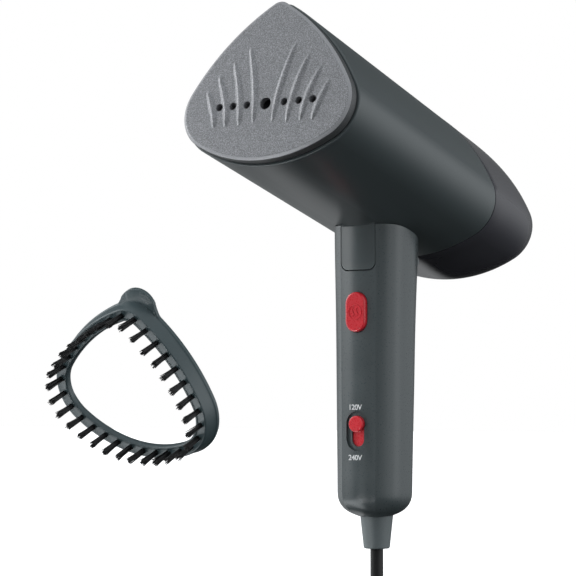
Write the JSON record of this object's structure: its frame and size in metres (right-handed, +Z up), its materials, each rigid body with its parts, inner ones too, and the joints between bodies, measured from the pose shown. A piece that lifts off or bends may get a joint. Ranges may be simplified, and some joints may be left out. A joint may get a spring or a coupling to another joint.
{
  "type": "handheld steamer",
  "caption": "Folding handheld steamer: barrel head with a rounded triangular steam plate, removable smoked tank, slim handle with button and slide selector, mains cord, separate brush ring.",
  "frame": {"origin": "middle of the hand grip, on the handle's axis", "axes": "+Z up along the handle, -Y the way the steam plate faces, +X to the right when facing the plate"},
  "size_m": [0.3354, 0.243, 0.4844],
  "materials": {
    "housing_grey": "satin",
    "plate_metal": "satin",
    "smoked_tank": "gloss",
    "red_plastic": "gloss",
    "relief_grey": "satin",
    "cord_rubber": "matte",
    "tie_strap": "matte",
    "brass_contact": "satin",
    "brush_plastic": "satin",
    "bristle": "matte",
    "black_rubber": "matte",
    "cast_metal": "matte",
    "sheet_steel": "satin",
    "screw_steel": "satin",
    "spring_steel": "gloss",
    "hose": "matte",
    "inner_plastic": "matte",
    "coil_copper": "satin",
    "board_green": "satin",
    "component_black": "matte",
    "wire": "matte"
  },
  "bodies": {
    "handle": {"handle_front_shell": "housing_grey", "handle_rear_shell": "housing_grey", "switch_carrier": "inner_plastic", "handle_screws": "screw_steel", "hinge_pin": "screw_steel", "hinge_washers": "screw_steel", "detent_leaf": "spring_steel", "steam_switch": "inner_plastic", "button_spring": "spring_steel", "voltage_switch": "inner_plastic", "control_board": "board_green", "board_components": "component_black", "terminal_block": "inner_plastic", "handle_wires": "wire", "cord_clamp": "inner_plastic", "cord_clamp_screws": "screw_steel", "strain_relief": "relief_grey", "cord_lead": "cord_rubber", "cord_hank": "cord_rubber", "cord_tail": "cord_rubber", "cord_tie": "tie_strap", "plug_body": "cord_rubber", "plug_blades": "brass_contact"},
    "head": {"head_housing": "housing_grey", "hinge_lug": "inner_plastic", "hinge_screws": "screw_steel", "steam_plate": "plate_metal", "plate_gasket": "black_rubber", "boiler_block": "cast_metal", "boiler_carrier": "inner_plastic", "boiler_cover": "sheet_steel", "boiler_screws": "screw_steel", "heating_element": "sheet_steel", "steam_inlet_fitting": "brass_contact", "steam_hose": "hose", "thermostat": "inner_plastic", "thermal_fuse": "sheet_steel", "fuse_clip": "brass_contact", "pump": "inner_plastic", "pump_coil": "coil_copper", "pump_cradle": "inner_plastic", "inlet_hose": "hose", "rear_bulkhead": "inner_plastic", "bulkhead_screws": "screw_steel", "head_wires": "wire"},
    "water_tank": {"tank_shell": "smoked_tank", "tank_front": "smoked_tank", "tank_seal": "black_rubber", "valve_cage": "inner_plastic", "valve_spring": "spring_steel", "pickup_tube": "hose", "pickup_weight": "sheet_steel"},
    "tank_valve": {"tank_valve": "inner_plastic"},
    "filler_stopper": {"filler_stopper": "black_rubber"},
    "steam_button": {"steam_button": "red_plastic"},
    "voltage_selector": {"voltage_knob": "red_plastic"},
    "brush": {"brush_frame": "brush_plastic", "bristle_tufts": "bristle"}
  },
  "joints": [
    {"name": "handle_fold", "type": "hinge", "parent": "handle", "child": "head", "pos_m": [0, 0.014, 0.0533], "axis": [-1, 0, 0], "range_deg": [0, 75]},
    {"name": "steam_press", "type": "slide", "parent": "handle", "child": "steam_button", "axis": [0, 1, 0], "range_m": [0, 0.0015], "stiffness_N_per_m": 900, "springref_m": -0.001, "deforming": ["button_spring"]},
    {"name": "voltage_select", "type": "slide", "parent": "handle", "child": "voltage_selector", "axis": [0, 0, -1], "range_m": [0, 0.0065]},
    {"name": "tank_pull", "type": "slide", "parent": "head", "child": "water_tank", "axis": [0, 0.9706, -0.2407], "range_m": [0, 0.06]},
    {"name": "valve_close", "type": "slide", "parent": "water_tank", "child": "tank_valve", "axis": [0, -0.9706, 0.2407], "range_m": [0, 0.0013]},
    {"name": "filler_pull", "type": "slide", "parent": "water_tank", "child": "filler_stopper", "axis": [-0.7894, 0.1478, 0.5958], "range_m": [0, 0.012]},
    {"name": "brush_offer", "type": "slide", "parent": "handle", "child": "brush", "axis": [0.0387, 0.9087, 0.4156], "range_m": [0, 0.02]}
  ],
  "couplings": [
    {"joint": "valve_close", "follows": "tank_pull", "ratio": 0.0216}
  ]
}
